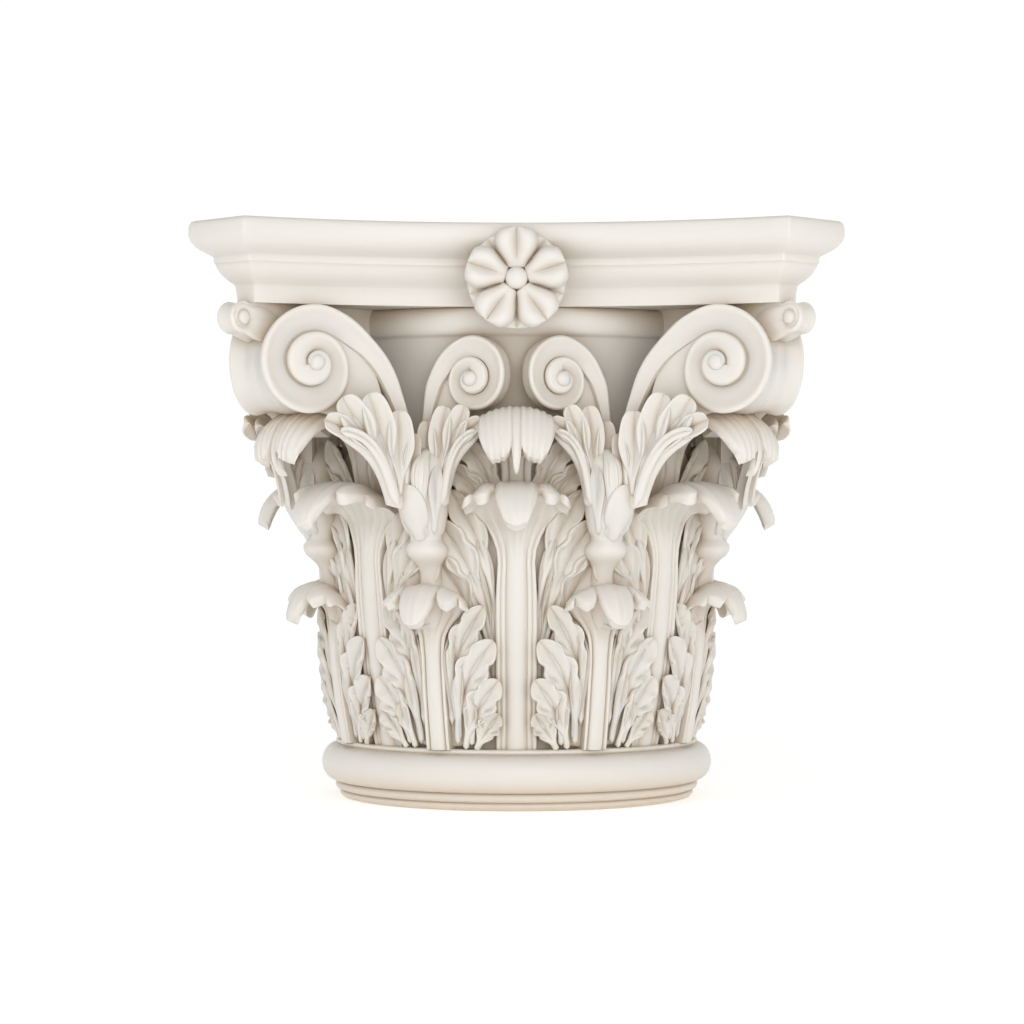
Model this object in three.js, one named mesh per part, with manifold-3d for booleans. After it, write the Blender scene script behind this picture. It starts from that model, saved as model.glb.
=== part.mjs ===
// A Corinthian capital carved from one block of white marble.
// Millimetres, +Z up, origin at the centre of the underside, front face towards -Y.
// Every ornament is modelled once as a closed shell and joined to the block in its repeated places.
import * as THREE from "three";
import { mergeVertices } from "three/addons/utils/BufferGeometryUtils.js";
import Module from "manifold-3d";

const wasm = await Module();
wasm.setup();

const TURN = 2 * Math.PI;
const EIGHTH = TURN / 8;
// lower leaves and stalks stand in pairs, this far to each side of a face's middle
const PAIR_ANGLE = (24 * TURN) / 360;
const RING_SIDES = 24;
const WAIST_SIDES = 14;

// Foot ring: a bead between two fillets
const ring = {
  seatRadius: 173,
  filletRadius: 180,
  beadBottom: 17,
  beadTop: 53,
  beadRadius: 194,
  top: 58,
  beadSteps: 4,
};

// Bell behind the leaves, with its lip under the abacus
const bell = {
  waistRadius: 163,
  waistHeight: 190,
  shoulderRadius: 172,
  shoulderHeight: 345,
  throatRadius: 198,
  lipBottom: 446,
  lipRadius: 207,
  lipRounding: 4,
  overlap: 4,
};

// Abacus: four hollow sides with cut corners
const abacus = {
  bottom: 473,
  arrisNear: 245,
  arrisFar: 301,
  hollowReach: 235.5,
  sideSteps: 5,
  // inset from the outline against height above the abacus's underside
  profile: [
    [36, 0],
    [33, 15],
    [20, 35],
    [19, 42],
    [6, 51],
    [0, 64],
    [2, 75],
  ],
};

// Acanthus leaves: foot, neck where the tip begins to curl over, half depth and height of the curl,
// angle by which the tip hangs past the level, half widths, station where a slim stem ends,
// lobes up each side, station of the lowest lobe, and the rib up the middle
const lowerLeaf = {
  footRadius: 176,
  footHeight: 58.3,
  neckRadius: 191,
  neckHeight: 177,
  curlDepth: 21,
  curlRise: 32,
  droop: 0.05,
  footHalf: 50,
  bodyHalf: 58,
  neckHalf: 46,
  curlHalf: 43,
  lobes: 3,
  lobesFrom: 0.08,
  ribHalf: 9,
  ribLift: 8,
};
const upperFaceLeaf = {
  footRadius: 167,
  footHeight: 58.3,
  neckRadius: 190,
  neckHeight: 266,
  curlDepth: 29,
  curlRise: 39,
  droop: 0.05,
  footHalf: 10.5,
  bodyHalf: 66,
  neckHalf: 58,
  curlHalf: 49,
  stemTo: 0.48,
  lobes: 2,
  lobesFrom: 0.64,
  ribHalf: 9,
  ribLift: 8,
};
const upperCornerLeaf = { ...upperFaceLeaf, neckRadius: 196, curlDepth: 41 };
const innerFaceLeaf = {
  footRadius: 170,
  footHeight: 255,
  neckRadius: 190,
  neckHeight: 338,
  curlDepth: 28,
  curlRise: 36,
  droop: 0.25,
  footHalf: 50,
  bodyHalf: 56,
  neckHalf: 48,
  curlHalf: 37,
  lobes: 1,
  lobesFrom: 0.2,
  ribHalf: 7,
  ribLift: 6,
};
const innerCornerLeaf = { ...innerFaceLeaf, neckRadius: 204, curlDepth: 54 };
const LEAF_EDGE_LIFT = 3;
const LEAF_NOTCH = 0.22;
const LOBE_TIP_AT = 0.62;
const CURL_THICKNESS = 6;
// how far the edges and the rib's sides stay back from the middle line, for each station of curl
const EDGE_SHORTENS = 0.3;
const RIB_SHORTENS = 0.1;
// share of the half width that the back keeps, on the body and under the tip, and its place inside the bell
const BODY_BACK_SHARE = 0.75;
const TIP_BACK_SHARE = 0.5;
const BACK_INSIDE_BELL = 6;
// stations along the curl and the share of its half width there
const CURL_SPREAD = [
  [1.36, 0.95],
  [1.7, 1.05],
  [2, 0.85],
];

// Stalks between the leaves: ring of [height, distance of the centre from the axis, radius]
const stalk = {
  sides: 6,
  rings: [
    [188, 188, 12],
    [238, 203, 14],
    [242, 204, 20],
    [254, 207, 16],
    [302, 214, 31],
    [346, 213, 27],
  ],
};

// Scrolls: the corner volutes and the helices at the middle of each face, each with the band it winds from.
// Each lies in an upright plane given by a point near the face's middle and a point further out.
const volute = {
  planeFrom: [-83, -200],
  planeTo: [-234, -267],
  eyeAlong: 109.4,
  eyeHeight: 419.4,
  eyeRadius: 10,
  outerRadius: 53,
  turns: 2,
  shrink: 1.1,
  steps: 8,
  rim: 4,
  channel: 7,
  thickness: 45,
  stemWidth: 20,
  stemFrom: -0.38,
  stemStraightensAt: -0.1,
};
const helix = {
  planeFrom: [-90, -195],
  planeTo: [0, -230],
  eyeAlong: 50.3,
  eyeHeight: 405,
  eyeRadius: 8,
  outerRadius: 40,
  turns: 1.72,
  shrink: 1.3,
  steps: 7,
  rim: 3.5,
  channel: 6,
  thickness: 20,
  stemWidth: 15,
  stemFrom: -0.4,
  stemStraightensAt: -0.2,
};
const STEM_SPREAD = 960;
const STEM_STEPS = 3;
const EYE_LIFT = 2;

// Small scroll under each corner of the abacus: a short roll across the corner, as
// [distance along the roll, radius], with a tail down to the volutes
const horn = {
  distance: 361,
  height: 459,
  sides: 8,
  tail: 1.7,
  tailAngle: 5 * EIGHTH,
  tailSharpness: 4,
  rings: [
    [-12, 14.5],
    [0, 12.5],
    [12, 14.5],
  ],
};

// Leaves that spring from each cup and carry the scrolls: in the scroll's own plane,
// [along at the lower edge, height there, along at the upper edge, height there, lift of its middle]
const voluteBracket = [
  [34, 292, -4, 288, 10],
  [58, 339, 22, 366, 12],
  [88, 356, 78, 389, 15],
  [101, 362, 102, 376, 20],
];
const helixBracket = [
  [26, 292, -2, 292, 9],
  [40, 345, 20, 374, 11],
  [62, 358, 58, 378, 15],
];
const BRACKET_EDGE = 3;
const BRACKET_DEPTH = 18;

// Flowers at the middle of each hollow side: [distance in front of the axis, tip radius, notch radius]
const flower = {
  height: 495.5,
  petals: 5,
  rings: [
    [210, 22, 20],
    [246, 47, 40],
    [263, 43, 34],
    [254, 14, 14],
    [266, 10, 10],
  ],
};

// A point at a distance from the axis, turned from the front towards +X
function around(radius, angle, height) {
  return new THREE.Vector3(radius * Math.sin(angle), -radius * Math.cos(angle), height);
}

function shellGeometry(points, triangles) {
  const geometry = new THREE.BufferGeometry();
  const corners = points.flatMap((point) => [point.x, point.y, point.z]);
  geometry.setAttribute("position", new THREE.Float32BufferAttribute(corners, 3));
  geometry.setIndex(triangles);
  return geometry;
}

// Joins closed loops of equal length into a shell, closed at both ends by fans from the loop's middle
function loft(loops) {
  const count = loops[0].length;
  const points = loops.flat();
  const triangles = [];
  const middle = (loop) => {
    const sum = loop.reduce((total, point) => total.add(point), new THREE.Vector3());
    return points.push(sum.divideScalar(count)) - 1;
  };
  const [foot, head] = [middle(loops[0]), middle(loops[loops.length - 1])];
  const last = (loops.length - 1) * count;
  for (let column = 0; column < count; column += 1) {
    const beside = (column + 1) % count;
    for (let row = 0; row < last; row += count) {
      const [here, next] = [row + column, row + beside];
      triangles.push(here, next, here + count, next, next + count, here + count);
    }
    triangles.push(foot, beside, column, head, last + column, last + beside);
  }
  return shellGeometry(points, triangles);
}

// A closed shell as a solid, turned right side out
function solidOf(geometry) {
  const bare = geometry.clone();
  bare.deleteAttribute("normal");
  bare.deleteAttribute("uv");
  const merged = mergeVertices(bare, 1e-3);
  const corners = merged.getAttribute("position").array;
  const index = merged.getIndex().array;
  const kept = [];
  let volume = 0;
  const [a, b, c] = [new THREE.Vector3(), new THREE.Vector3(), new THREE.Vector3()];
  for (let i = 0; i < index.length; i += 3) {
    const [p, q, r] = index.subarray(i, i + 3);
    if (p === q || q === r || r === p) {
      continue;
    }
    kept.push(p, q, r);
    a.fromArray(corners, 3 * p);
    b.fromArray(corners, 3 * q);
    c.fromArray(corners, 3 * r);
    volume += a.dot(b.cross(c));
  }
  const outward = volume > 0 ? kept : kept.reverse();
  const mesh = new wasm.Mesh({
    numProp: 3,
    vertProperties: new Float32Array(corners),
    triVerts: new Uint32Array(outward),
  });
  return new wasm.Manifold(mesh);
}

// A turned shape from [radius, height] steps between two flat ends
function turned(steps, sides) {
  const [foot, head] = [steps[0], steps[steps.length - 1]];
  const profile = [[0, foot[1]], ...steps, [0, head[1]]].map((step) => new THREE.Vector2(...step));
  return new THREE.LatheGeometry(profile, sides).rotateX(Math.PI / 2).rotateZ(TURN / (3 * sides));
}

function footRingGeometry() {
  const steps = [
    [ring.seatRadius, 0],
    [ring.filletRadius, ring.beadBottom],
  ];
  const beadHalf = (ring.beadTop - ring.beadBottom) / 2;
  for (let step = 1; step < ring.beadSteps; step += 1) {
    const angle = (Math.PI * step) / ring.beadSteps;
    const bulge = (ring.beadRadius - ring.filletRadius) * Math.sin(angle);
    steps.push([ring.filletRadius + bulge, ring.beadBottom + beadHalf * (1 - Math.cos(angle))]);
  }
  steps.push([ring.filletRadius, ring.beadTop], [ring.filletRadius, ring.top]);
  return turned(steps, RING_SIDES);
}

function waistGeometry() {
  const steps = [
    [bell.waistRadius, ring.beadBottom],
    [bell.waistRadius, bell.waistHeight],
    [bell.shoulderRadius, bell.shoulderHeight],
    [bell.throatRadius, bell.lipBottom + bell.overlap],
  ];
  return turned(steps, WAIST_SIDES);
}

function lipGeometry() {
  const steps = [
    [bell.lipRadius - bell.lipRounding, bell.lipBottom],
    [bell.lipRadius, (bell.lipBottom + abacus.bottom) / 2],
    [bell.lipRadius - bell.lipRounding, abacus.bottom + bell.overlap],
  ];
  return turned(steps, RING_SIDES);
}

// Outline of the abacus at one inset: hollow arcs between cut corners
function abacusOutline(inset, height) {
  const { arrisNear, arrisFar, hollowReach, sideSteps } = abacus;
  const rise = arrisFar - hollowReach;
  const hollowRadius = (arrisNear ** 2 + rise ** 2) / (2 * rise);
  const centre = hollowReach + hollowRadius;
  const radius = hollowRadius + inset;
  // the cut corner is the line across + out = reach, which the arc meets at each arris
  const reach = arrisNear + arrisFar - inset * Math.SQRT2;
  const gap = centre - reach;
  const across = (-gap + Math.sqrt(2 * radius ** 2 - gap ** 2)) / 2;
  const sweep = Math.asin(across / radius);
  const loop = [];
  for (let side = 0; side < 4; side += 1) {
    for (let step = 0; step <= sideSteps; step += 1) {
      const angle = sweep * ((2 * step) / sideSteps - 1);
      const point = new THREE.Vector3(radius * Math.sin(angle), radius * Math.cos(angle) - centre, height);
      loop.push(point.applyAxisAngle(new THREE.Vector3(0, 0, 1), (side * TURN) / 4));
    }
  }
  return loop;
}

function abacusGeometry() {
  return loft(abacus.profile.map(([inset, rise]) => abacusOutline(inset, abacus.bottom + rise)));
}

// The leaf's line from foot to tip: station 0 is the foot, 1 the neck and 2 the hanging tip
function leafLine(leaf) {
  const neck = new THREE.Vector2(leaf.neckRadius, leaf.neckHeight);
  const foot = new THREE.Vector2(leaf.footRadius, leaf.footHeight);
  const bend = new THREE.Vector2(leaf.neckRadius - 3, (leaf.footHeight + leaf.neckHeight) / 2);
  const climb = new THREE.QuadraticBezierCurve(foot, bend, neck);
  const curl = new THREE.EllipseCurve(
    leaf.neckRadius + leaf.curlDepth,
    leaf.neckHeight,
    leaf.curlDepth,
    leaf.curlRise,
    Math.PI,
    -leaf.droop,
    true,
  );
  return (station) => {
    const [curve, t] = station < 1 ? [climb, station] : [curl, station - 1];
    const { x: radius, y: height } = curve.getPoint(t);
    const tangent = curve.getTangent(t);
    return { radius, height, out: tangent.y, up: -tangent.x };
  };
}

// A place on the leaf: station along it, distance across and lift off its face
function leafPoint(line, station, across, lift) {
  const { radius, height, out, up } = line(station);
  return around(radius + out * lift, across / radius, height + up * lift);
}

// Sections up a leaf: [station, half width, whether it is a lobe's tip]
function leafSections(leaf) {
  const sections = [[0, leaf.footHalf, false]];
  if (leaf.stemTo) {
    sections.push([leaf.stemTo, leaf.footHalf, false]);
  }
  const span = 1 - leaf.lobesFrom;
  for (let lobe = 0; lobe < leaf.lobes; lobe += 1) {
    const notchAt = leaf.lobesFrom + (span * lobe) / leaf.lobes;
    const tipAt = leaf.lobesFrom + (span * (lobe + LOBE_TIP_AT)) / leaf.lobes;
    const half = THREE.MathUtils.lerp(leaf.bodyHalf, leaf.neckHalf, lobe / leaf.lobes);
    if (lobe > 0) {
      sections.push([notchAt, half * (1 - LEAF_NOTCH), false]);
    }
    sections.push([tipAt, half, true]);
  }
  sections.push([1, leaf.curlHalf * (1 - LEAF_NOTCH), false]);
  for (const [station, share] of CURL_SPREAD) {
    sections.push([station, leaf.curlHalf * share, false]);
  }
  return sections;
}

// A leaf: its body has a raised rib and lobed edges and is backed by the bell; its tip curls out and over,
// so that its back comes to the front with a middle lobe and one at each side
function leafGeometry(leaf) {
  const line = leafLine(leaf);
  const loops = leafSections(leaf).map(([station, half, isTip]) => {
    const curled = Math.max(0, station - 1);
    const edgeLift = isTip ? LEAF_EDGE_LIFT : 0;
    const ribLift = curled > 0 ? CURL_THICKNESS / 2 : leaf.ribLift;
    const edgeAt = station - EDGE_SHORTENS * curled;
    const ribAt = station - RIB_SHORTENS * curled;
    const face = [
      leafPoint(line, edgeAt, -half, edgeLift),
      leafPoint(line, ribAt, -leaf.ribHalf, ribLift),
      leafPoint(line, ribAt, leaf.ribHalf, ribLift),
      leafPoint(line, edgeAt, half, edgeLift),
    ];
    if (curled === 0) {
      const { height } = line(station);
      const wide = (BODY_BACK_SHARE * half) / bell.waistRadius;
      const depth = bell.waistRadius - BACK_INSIDE_BELL;
      return [...face, around(depth, wide, height), around(depth, -wide, height)];
    }
    return [
      ...face,
      leafPoint(line, station, TIP_BACK_SHARE * half, -CURL_THICKNESS),
      leafPoint(line, station, -TIP_BACK_SHARE * half, -CURL_THICKNESS),
    ];
  });
  return loft(loops);
}

function stalkGeometry() {
  const loops = stalk.rings.map(([height, distance, radius]) => {
    const loop = [];
    for (let side = 0; side < stalk.sides; side += 1) {
      const angle = (TURN * (side + 0.5)) / stalk.sides;
      loop.push(new THREE.Vector3(radius * Math.sin(angle), radius * Math.cos(angle) - distance, height));
    }
    return loop;
  });
  return loft(loops);
}

// The upright plane of a scroll: a place along it, at a height, lifted off it
function scrollPlane(scroll) {
  const from = new THREE.Vector3(...scroll.planeFrom, 0);
  const along = new THREE.Vector3(...scroll.planeTo, 0).sub(from).normalize();
  const out = new THREE.Vector3(-along.y, along.x, 0);
  if (out.y > 0) {
    out.negate();
  }
  return (distance, height, lift) => {
    const point = from.clone().addScaledVector(along, distance).addScaledVector(out, lift);
    return point.setZ(height);
  };
}

// Radius of a scroll after a number of turns from its top, also back along its stem
function scrollRadius(scroll, turn) {
  if (turn >= 0) {
    const left = Math.max(0, 1 - turn / scroll.turns);
    return scroll.eyeRadius + (scroll.outerRadius - scroll.eyeRadius) * left ** scroll.shrink;
  }
  const straight = Math.min(0, turn - scroll.stemStraightensAt);
  return scroll.outerRadius + STEM_SPREAD * straight ** 2;
}

// A place on a scroll: turns from its top, inset from its outer edge, lift off its face
function scrollPoint(scroll, turn, inset, lift) {
  const radius = scrollRadius(scroll, turn) - inset;
  const angle = TURN * turn;
  const along = scroll.eyeAlong + radius * Math.sin(angle);
  return scrollPlane(scroll)(along, scroll.eyeHeight + radius * Math.cos(angle), lift);
}

// Width of the band between a scroll's edge and its next turn, or the band's own inner edge
function bandWidth(scroll, turn) {
  const atTop = scrollRadius(scroll, 0) - scrollRadius(scroll, 1);
  return THREE.MathUtils.lerp(atTop, scroll.stemWidth, turn / scroll.stemFrom);
}

// A scroll with its band: a raised rim winds in to the eye, with a sunk channel inside it
function scrollGeometry(scroll) {
  const { steps, turns, rim, channel, thickness } = scroll;
  const total = Math.round(turns * steps);
  const points = [];
  const triangles = [];
  const corner = (turn, inset, lift) => points.push(scrollPoint(scroll, turn, inset, lift)) - 1;
  const quad = (a, b, c, d) => triangles.push(a, b, c, a, c, d);
  const edges = new Map();
  const grooves = new Map();
  const backs = new Map();
  const stemInner = new Map();
  const stemBacks = new Map();
  for (let i = -STEM_STEPS; i <= total; i += 1) {
    const turn = i < 0 ? (-scroll.stemFrom * i) / STEM_STEPS : i / steps;
    const sunk = channel * (1 - Math.max(0, i) / total);
    edges.set(i, corner(turn, 0, 0));
    grooves.set(i, corner(turn, rim, -sunk));
    if (i <= steps) {
      backs.set(i, corner(turn, 0, -thickness));
    }
    if (i < 0) {
      stemInner.set(i, corner(turn, bandWidth(scroll, turn), 0));
      stemBacks.set(i, corner(turn, bandWidth(scroll, turn), -thickness));
    }
  }
  const inner = (i) => (i < 0 ? stemInner.get(i) : edges.get(i + steps));
  const innerBack = (i) => (i < 0 ? stemBacks.get(i) : backs.get(steps));
  const lastTurn = total - steps;
  for (let i = -STEM_STEPS; i < total; i += 1) {
    quad(edges.get(i), edges.get(i + 1), grooves.get(i + 1), grooves.get(i));
    if (i < lastTurn) {
      quad(grooves.get(i), grooves.get(i + 1), inner(i + 1), inner(i));
    }
    if (i < steps) {
      quad(edges.get(i + 1), edges.get(i), backs.get(i), backs.get(i + 1));
    }
    if (i < 0) {
      quad(inner(i), inner(i + 1), innerBack(i + 1), innerBack(i));
      quad(backs.get(i + 1), backs.get(i), innerBack(i), innerBack(i + 1));
    }
  }
  const heart = points.push(scrollPlane(scroll)(scroll.eyeAlong, scroll.eyeHeight, -thickness)) - 1;
  for (let i = 1; i < steps; i += 1) {
    triangles.push(heart, backs.get(i + 1), backs.get(i));
  }
  triangles.push(heart, backs.get(1), backs.get(steps), backs.get(1), backs.get(0), backs.get(steps));
  const eye = points.push(scrollPlane(scroll)(scroll.eyeAlong, scroll.eyeHeight, EYE_LIFT)) - 1;
  for (let i = lastTurn; i < total; i += 1) {
    triangles.push(grooves.get(i), grooves.get(i + 1), eye);
  }
  triangles.push(grooves.get(total), edges.get(total), eye, edges.get(total), grooves.get(lastTurn), eye);
  const end = -STEM_STEPS;
  triangles.push(edges.get(end), grooves.get(end), inner(end));
  quad(edges.get(end), inner(end), innerBack(end), backs.get(end));
  return shellGeometry(points, triangles);
}

function hornGeometry() {
  const outwards = around(1, -EIGHTH, 0);
  const across = new THREE.Vector3(outwards.y, -outwards.x, 0);
  const loops = horn.rings.map(([shift, radius]) => {
    const centre = outwards.clone().multiplyScalar(horn.distance).addScaledVector(across, shift);
    const loop = [];
    for (let side = 0; side < horn.sides; side += 1) {
      const angle = (TURN * side) / horn.sides;
      const towardsTail = Math.max(0, Math.cos(angle - horn.tailAngle));
      const tail = 1 + horn.tail * towardsTail ** horn.tailSharpness;
      const point = centre.clone().addScaledVector(outwards, radius * tail * Math.cos(angle));
      loop.push(point.setZ(horn.height + radius * tail * Math.sin(angle)));
    }
    return loop;
  });
  return loft(loops);
}

// A leaf from the cup that spreads under a scroll
function bracketGeometry(scroll, bracket) {
  const plane = scrollPlane(scroll);
  const loops = bracket.map(([lowAlong, lowHeight, highAlong, highHeight, lift]) => {
    const along = (lowAlong + highAlong) / 2;
    const height = (lowHeight + highHeight) / 2;
    return [
      plane(lowAlong, lowHeight, BRACKET_EDGE),
      plane(along, height, lift),
      plane(highAlong, highHeight, BRACKET_EDGE),
      plane(along, height, lift - BRACKET_DEPTH),
    ];
  });
  return loft(loops);
}

function flowerGeometry() {
  const loops = flower.rings.map(([distance, tip, notch]) => {
    const loop = [];
    for (let i = 0; i < 2 * flower.petals; i += 1) {
      const radius = i % 2 ? notch : tip;
      const angle = (TURN * i) / (2 * flower.petals);
      const height = flower.height + radius * Math.cos(angle);
      loop.push(new THREE.Vector3(radius * Math.sin(angle), -distance, height));
    }
    return loop;
  });
  return loft(loops);
}

// Copies of an ornament turned round the axis, mirrored across the front as well where it is one of a pair
function copiesRound(geometry, { count = 4, firstAngle = 0, mirrored = false }) {
  const copies = [];
  for (let i = 0; i < count; i += 1) {
    const turned = new THREE.Matrix4().makeRotationZ(firstAngle + (TURN * i) / count);
    copies.push(geometry.clone().applyMatrix4(turned));
    if (mirrored) {
      const flipped = geometry.clone().applyMatrix4(new THREE.Matrix4().makeScale(-1, 1, 1));
      copies.push(flipped.applyMatrix4(turned));
    }
  }
  return copies;
}

const pairs = { mirrored: true };
const ornaments = [
  waistGeometry(),
  lipGeometry(),
  abacusGeometry(),
  ...copiesRound(leafGeometry(lowerLeaf).rotateZ(PAIR_ANGLE), pairs),
  ...copiesRound(leafGeometry(upperFaceLeaf), {}),
  ...copiesRound(leafGeometry(upperCornerLeaf), { firstAngle: EIGHTH }),
  ...copiesRound(leafGeometry(innerFaceLeaf), {}),
  ...copiesRound(leafGeometry(innerCornerLeaf), { firstAngle: EIGHTH }),
  ...copiesRound(stalkGeometry().rotateZ(PAIR_ANGLE), pairs),
  ...copiesRound(scrollGeometry(volute), pairs),
  ...copiesRound(scrollGeometry(helix), pairs),
  ...copiesRound(hornGeometry(), {}),
  ...copiesRound(bracketGeometry(volute, voluteBracket), pairs),
  ...copiesRound(bracketGeometry(helix, helixBracket), pairs),
  ...copiesRound(flowerGeometry(), {}),
];

function carvedBlock() {
  let block = solidOf(footRingGeometry());
  for (const ornament of ornaments) {
    block = block.add(solidOf(ornament));
  }
  const { vertProperties, triVerts } = block.getMesh();
  const geometry = new THREE.BufferGeometry();
  geometry.setAttribute("position", new THREE.BufferAttribute(vertProperties, 3));
  geometry.setIndex(new THREE.BufferAttribute(triVerts, 1));
  geometry.computeVertexNormals();
  return geometry;
}

const marble = new THREE.MeshStandardMaterial({ color: 0xe9e5dd, roughness: 0.45, metalness: 0 });

const capital = new THREE.Group();
const carving = new THREE.Mesh(carvedBlock(), marble);
carving.name = "capital";
capital.add(carving);

export default capital;
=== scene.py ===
"""A Corinthian capital carved from white marble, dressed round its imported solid.

Sizes in this file are millimetres unless a property says otherwise; meshes are metres. The capital stands on
the origin with its axis on +Z and its photographed face towards -Y.
"""

import math

import bpy
import numpy as np
from mathutils import Matrix, Vector


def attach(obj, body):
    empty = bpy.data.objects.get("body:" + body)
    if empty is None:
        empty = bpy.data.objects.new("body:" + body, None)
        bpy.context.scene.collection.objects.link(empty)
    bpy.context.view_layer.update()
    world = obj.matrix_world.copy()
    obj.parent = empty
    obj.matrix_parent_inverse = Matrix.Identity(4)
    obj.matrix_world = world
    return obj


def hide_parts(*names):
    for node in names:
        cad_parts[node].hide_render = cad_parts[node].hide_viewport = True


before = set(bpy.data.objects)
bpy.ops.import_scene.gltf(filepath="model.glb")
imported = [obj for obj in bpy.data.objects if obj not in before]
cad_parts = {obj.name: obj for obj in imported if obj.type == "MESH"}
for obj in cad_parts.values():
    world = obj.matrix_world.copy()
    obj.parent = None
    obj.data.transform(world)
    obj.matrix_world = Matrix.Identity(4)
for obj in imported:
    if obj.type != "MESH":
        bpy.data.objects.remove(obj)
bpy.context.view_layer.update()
NODE = "capital"
BODY = "root"

bl_info = {
    "name": "Corinthian Capital",
    "version": (1, 0, 0),
    "blender": (4, 5, 0),
    "location": "3D View > Sidebar > Capital",
    "description": "Carves a marble Corinthian capital round its packed solid",
    "category": "Add Mesh",
}

MM = 0.001
WELD = 2e-5
CREASE = math.radians(50)
EIGHTH = math.pi / 4
SIDES = 4
# from the middle of a face to the lower leaf and the stalk beside it
PAIR_ANGLE = math.radians(24)


def mix(a, b, share):
    return a + (b - a) * share


def ease(start, end, value):
    """0 before start, 1 after end, with a smooth step between them."""
    share = np.clip((value - start) / (end - start), 0, 1)
    return share * share * (3 - 2 * share)


def curve(value, stations, sizes):
    """A smooth curve through the sizes at the stations."""
    stations = np.asarray(stations, float)
    sizes = np.asarray(sizes, float)
    slopes = np.gradient(sizes, stations)
    value = np.clip(value, stations[0], stations[-1])
    left = np.clip(np.searchsorted(stations, value, side="right") - 1, 0, len(stations) - 2)
    gap = stations[left + 1] - stations[left]
    share = (value - stations[left]) / gap
    start = (1 + 2 * share) * (1 - share) ** 2 * sizes[left]
    end = share**2 * (3 - 2 * share) * sizes[left + 1]
    lean = share * (1 - share) * ((1 - share) * slopes[left] - share * slopes[left + 1])
    return start + end + gap * lean


def around(radius, angle, height):
    """Points at a distance from the axis, turned from the front towards +X."""
    return np.stack([radius * np.sin(angle), -radius * np.cos(angle), height + 0 * angle], axis=-1)


def deselect_all():
    bpy.ops.object.select_all(action="DESELECT")


def clean(piece):
    """Merges doubles, turns the faces outwards and smooths all but the sharp edges."""
    deselect_all()
    piece.select_set(True)
    bpy.context.view_layer.objects.active = piece
    bpy.ops.object.mode_set(mode="EDIT")
    bpy.ops.mesh.select_all(action="SELECT")
    bpy.ops.mesh.remove_doubles(threshold=WELD)
    bpy.ops.mesh.normals_make_consistent(inside=False)
    bpy.ops.object.mode_set(mode="OBJECT")
    bpy.ops.object.shade_smooth_by_angle(angle=CREASE)
    return piece


def carve(columns, rows, place):
    """A grid whose points move to place(u, v): u across it from -1 to 1 and v along it from 0 to 1."""
    deselect_all()
    bpy.ops.mesh.primitive_grid_add(x_subdivisions=columns, y_subdivisions=rows, size=2)
    piece = bpy.context.object
    flat = np.empty(3 * len(piece.data.vertices))
    piece.data.vertices.foreach_get("co", flat)
    points = place(np.round(flat[0::3], 5), np.round((flat[1::3] + 1) / 2, 5))
    piece.data.vertices.foreach_set("co", (points * MM).ravel())
    return piece


def turn_up(steps, sides):
    """A turned shape: a disc extruded and resized from one [radius, height] step to the next."""
    deselect_all()
    first = steps[0]
    bpy.ops.mesh.primitive_circle_add(
        vertices=sides, radius=first[0] * MM, fill_type="NGON", location=(0, 0, first[1] * MM)
    )
    piece = bpy.context.object
    bpy.ops.object.transform_apply(location=True, rotation=False, scale=False)
    bpy.ops.object.mode_set(mode="EDIT")
    bpy.ops.mesh.select_all(action="SELECT")
    for (radius, height), (next_radius, next_height) in zip(steps, steps[1:]):
        rise = (next_height - height) * MM
        bpy.ops.mesh.extrude_region_move(TRANSFORM_OT_translate={"value": (0, 0, rise)})
        share = next_radius / radius
        bpy.ops.transform.resize(value=(share, share, 1), center_override=(0, 0, next_height * MM))
    bpy.ops.object.mode_set(mode="OBJECT")
    return piece


def join(pieces):
    deselect_all()
    for piece in pieces:
        piece.select_set(True)
    bpy.context.view_layer.objects.active = pieces[0]
    if len(pieces) > 1:
        bpy.ops.object.join()
    return bpy.context.object


def finish_piece(piece, name):
    """Names a piece, gives it the marble and fixes it to the capital's body in place of the plain solid."""
    piece.name = name
    piece.data.name = name
    piece.data.materials.clear()
    piece.data.materials.append(marble())
    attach(piece, BODY)
    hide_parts(NODE)


def copies_round(piece, name, first=0.0, aside=0.0, mirrored=False):
    """Four copies of a piece turned round the axis. One of a pair is first turned aside from the face's
    middle, and mirrored across it as well."""
    piece.data.transform(Matrix.Rotation(aside, 4, "Z"))
    flips = [Matrix.Identity(4)]
    if mirrored:
        flips.append(Matrix.Scale(-1, 4, Vector((1, 0, 0))))
    number = 0
    for index in range(SIDES):
        turned = Matrix.Rotation(first + 2 * math.pi * index / SIDES, 4, "Z")
        for flip in flips:
            number += 1
            copy = bpy.data.objects.new(name, piece.data.copy())
            bpy.context.collection.objects.link(copy)
            copy.data.transform(turned @ flip)
            if flip is not flips[0]:
                copy.data.flip_normals()
            finish_piece(copy, f"{name}_{number}")
    bpy.data.objects.remove(piece)


# Turned and moulded pieces

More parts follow.
